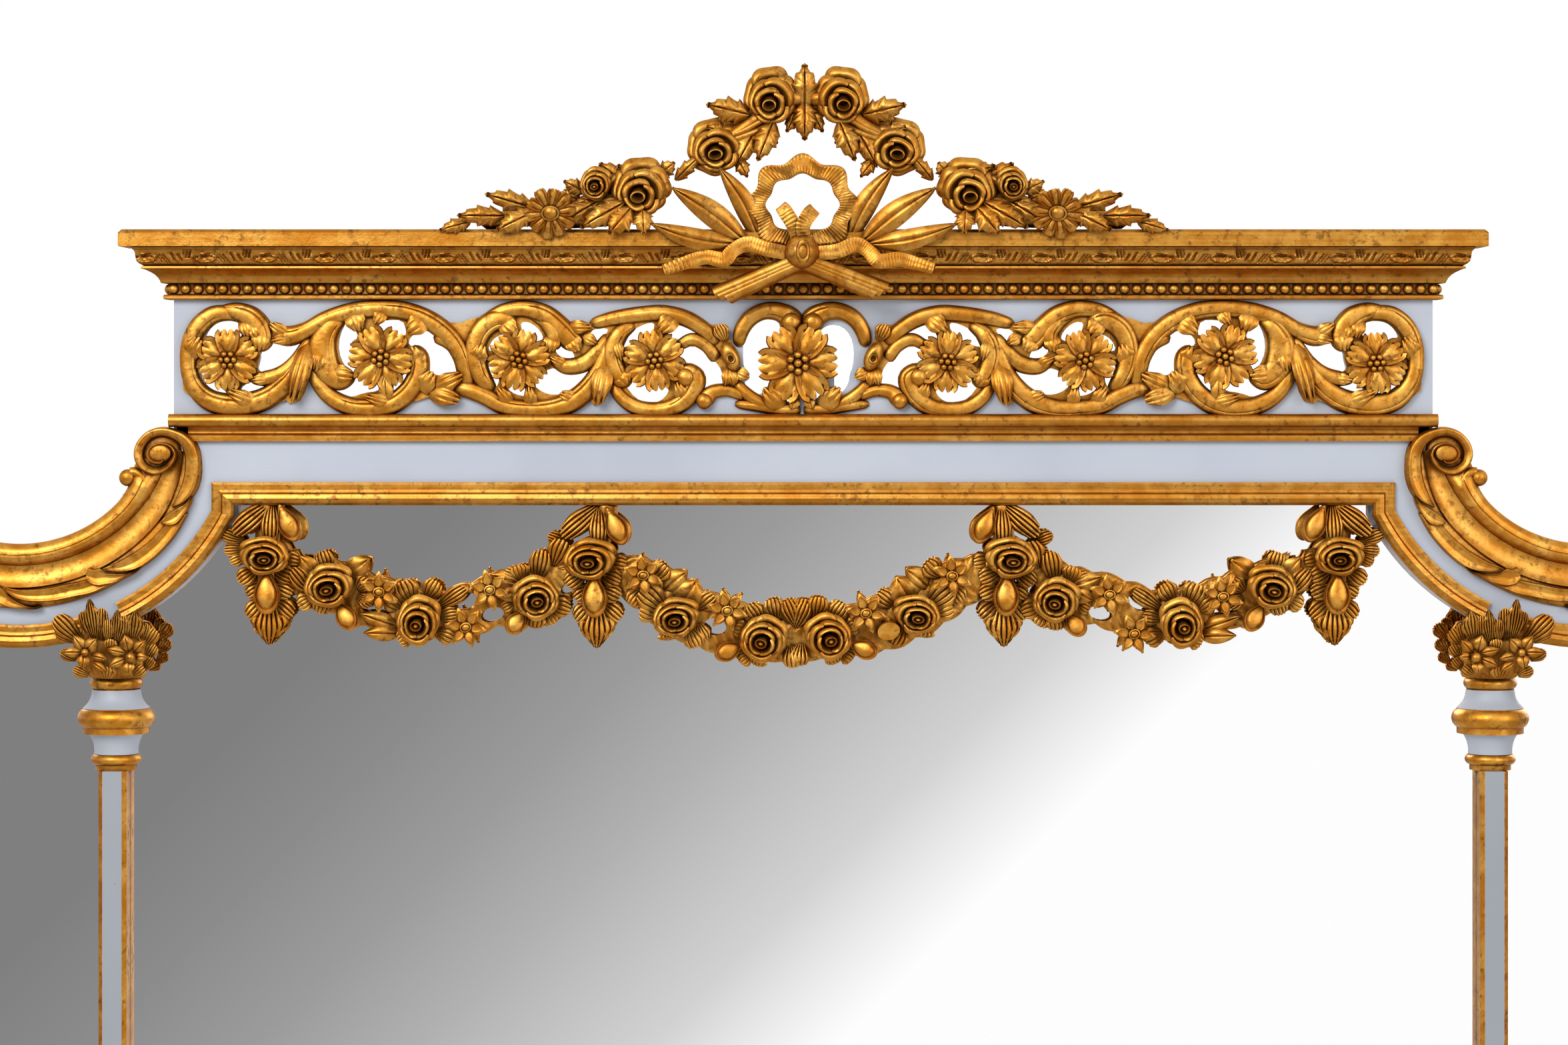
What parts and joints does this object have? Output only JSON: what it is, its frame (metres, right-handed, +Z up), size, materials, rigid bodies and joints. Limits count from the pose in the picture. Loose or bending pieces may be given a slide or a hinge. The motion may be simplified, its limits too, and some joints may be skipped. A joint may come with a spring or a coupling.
{
  "type": "overmantel mirror",
  "caption": "Painted and gilt carved overmantel mirror with columns, swags, pierced frieze and crested cornice, for standing on a mantel shelf against a wall.",
  "frame": {"origin": "middle of the footprint, on the shelf that the plinth stands on", "axes": "+Z up, -Y to the front, +X to the right seen from the front"},
  "size_m": [1.4134, 0.084, 1.5],
  "materials": {
    "gilding": "carved wood, worn gold leaf",
    "blue_paint": "aged blue-grey paint",
    "mirror_plate": "silvered glass",
    "bare_timber": "unpainted softwood",
    "back_board": "unpainted thin board",
    "brass": "plain brass"
  },
  "bodies": {
    "root": {"architrave": "gilding", "backboard_centre": "back_board", "backboards_side": "back_board", "bottom_rail": "bare_timber", "capital_inner_left": "gilding", "capital_inner_right": "gilding", "capital_outer_left": "gilding", "capital_outer_right": "gilding", "column_blocks": "blue_paint", "column_feet": "blue_paint", "column_necks": "blue_paint", "column_shaft_inner_left": "blue_paint", "column_shaft_inner_right": "blue_paint", "column_shaft_outer_left": "blue_paint", "column_shaft_outer_right": "blue_paint", "cornice_beads": "gilding", "cornice_cap": "gilding", "cornice_front": "gilding", "cornice_returns": "gilding", "crest_ribbon": "gilding", "crest_spray_left": "gilding", "crest_spray_right": "gilding", "crest_wreath": "gilding", "foot_slips": "gilding", "frieze_leaves": "gilding", "frieze_panel": "blue_paint", "frieze_scrolls": "gilding", "garland_drops": "gilding", "head_rail": "blue_paint", "mirror_plate_centre": "mirror_plate", "mirror_plate_left": "mirror_plate", "mirror_plate_right": "mirror_plate", "mullion_left": "bare_timber", "mullion_right": "bare_timber", "plate_blocks": "bare_timber", "plinth_cap": "blue_paint", "plinth_end_left": "blue_paint", "plinth_end_right": "blue_paint", "plinth_front_board": "blue_paint", "plinth_moulding_front": "gilding", "plinth_moulding_returns": "gilding", "scroll_left": "gilding", "scroll_right": "gilding", "shoulder_left": "blue_paint", "shoulder_right": "blue_paint", "slip_corner_left": "gilding", "slip_corner_right": "gilding", "slip_top": "gilding", "slip_wings": "gilding", "stile_left": "bare_timber", "stile_right": "bare_timber", "swag_centre": "gilding", "swag_left": "gilding", "swag_right": "gilding", "top_rail": "bare_timber", "wall_plates": "brass", "wing_rail_left": "bare_timber", "wing_rail_right": "bare_timber", "wood_screws": "brass"}
  },
  "joints": []
}
